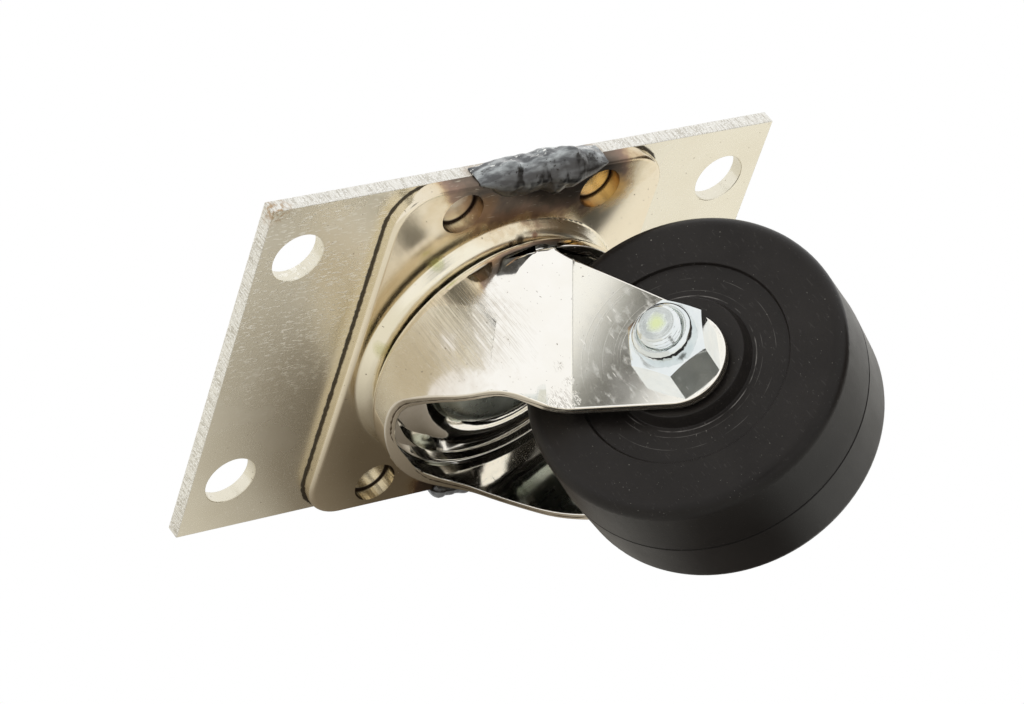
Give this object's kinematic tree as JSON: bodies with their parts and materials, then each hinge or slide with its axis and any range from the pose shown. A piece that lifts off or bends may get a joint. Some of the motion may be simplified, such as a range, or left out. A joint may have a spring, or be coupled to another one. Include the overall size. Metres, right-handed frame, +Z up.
{
  "type": "top plate swivel castor",
  "caption": "Swivel castor with a hard wheel in a pressed fork, its castor plate welded under a larger drilled adapter plate.",
  "frame": {"origin": "centre of the adapter plate's mounting face, where the swivel axis meets it", "axes": "+Z up out of the mounting face, +X along the long side of the adapter plate, castor hanging towards -Z"},
  "size_m": [0.1396, 0.1072, 0.0956],
  "materials": {
    "adapter_steel": "satin plated sheet steel with sheared edges",
    "castor_plate_steel": "smooth plated sheet steel, heat tinted beside the welds",
    "weld_metal": "raw lumpy weld bead with soot",
    "fork_zinc": "bright zinc plated pressed steel with fine scratches",
    "race_zinc": "grey-green zinc plate",
    "ball_steel": "polished bearing steel",
    "fastener_zinc": "bright bluish zinc plate",
    "wheel_plastic": "satin black moulded plastic with faint turned marks",
    "insert_nylon": "plain nylon"
  },
  "bodies": {
    "root": {"adapter_plate": "adapter_steel", "castor_plate": "castor_plate_steel", "weld_bead_front": "weld_metal", "weld_bead_rear": "weld_metal", "king_pin": "race_zinc", "lower_race_cup": "race_zinc"},
    "fork": {"fork": "fork_zinc", "axle_sleeve": "fastener_zinc", "axle_bolt": "fastener_zinc", "axle_nut": "fastener_zinc", "nut_insert": "insert_nylon"},
    "wheel": {"wheel": "wheel_plastic"},
    "upper_balls": {"upper_ball_01": "ball_steel", "upper_ball_02": "ball_steel", "upper_ball_03": "ball_steel", "upper_ball_04": "ball_steel", "upper_ball_05": "ball_steel", "upper_ball_06": "ball_steel", "upper_ball_07": "ball_steel", "upper_ball_08": "ball_steel", "upper_ball_09": "ball_steel", "upper_ball_10": "ball_steel", "upper_ball_11": "ball_steel", "upper_ball_12": "ball_steel", "upper_ball_13": "ball_steel", "upper_ball_14": "ball_steel", "upper_ball_15": "ball_steel", "upper_ball_16": "ball_steel", "upper_ball_17": "ball_steel", "upper_ball_18": "ball_steel", "upper_ball_19": "ball_steel", "upper_ball_20": "ball_steel", "upper_ball_21": "ball_steel"},
    "lower_balls": {"lower_ball_01": "ball_steel", "lower_ball_02": "ball_steel", "lower_ball_03": "ball_steel", "lower_ball_04": "ball_steel", "lower_ball_05": "ball_steel", "lower_ball_06": "ball_steel", "lower_ball_07": "ball_steel", "lower_ball_08": "ball_steel", "lower_ball_09": "ball_steel", "lower_ball_10": "ball_steel", "lower_ball_11": "ball_steel", "lower_ball_12": "ball_steel", "lower_ball_13": "ball_steel", "lower_ball_14": "ball_steel", "lower_ball_15": "ball_steel", "lower_ball_16": "ball_steel", "lower_ball_17": "ball_steel", "lower_ball_18": "ball_steel", "lower_ball_19": "ball_steel", "lower_ball_20": "ball_steel", "lower_ball_21": "ball_steel"}
  },
  "joints": [
    {"name": "swivel", "type": "hinge", "parent": "root", "child": "fork", "pos_m": [0, 0, -0.0143], "axis": [0, 0, 1], "continuous": true},
    {"name": "wheel_spin", "type": "hinge", "parent": "fork", "child": "wheel", "pos_m": [0.02209, -0.01955, -0.0575], "axis": [-0.6626, -0.749, 0], "continuous": true},
    {"name": "upper_balls_roll", "type": "hinge", "parent": "root", "child": "upper_balls", "pos_m": [0, 0, -0.0104], "axis": [0, 0, 1], "continuous": true},
    {"name": "lower_balls_roll", "type": "hinge", "parent": "root", "child": "lower_balls", "pos_m": [0, 0, -0.014], "axis": [0, 0, 1], "continuous": true}
  ],
  "couplings": [
    {"joint": "upper_balls_roll", "follows": "swivel", "ratio": 0.5},
    {"joint": "lower_balls_roll", "follows": "swivel", "ratio": 0.5}
  ]
}
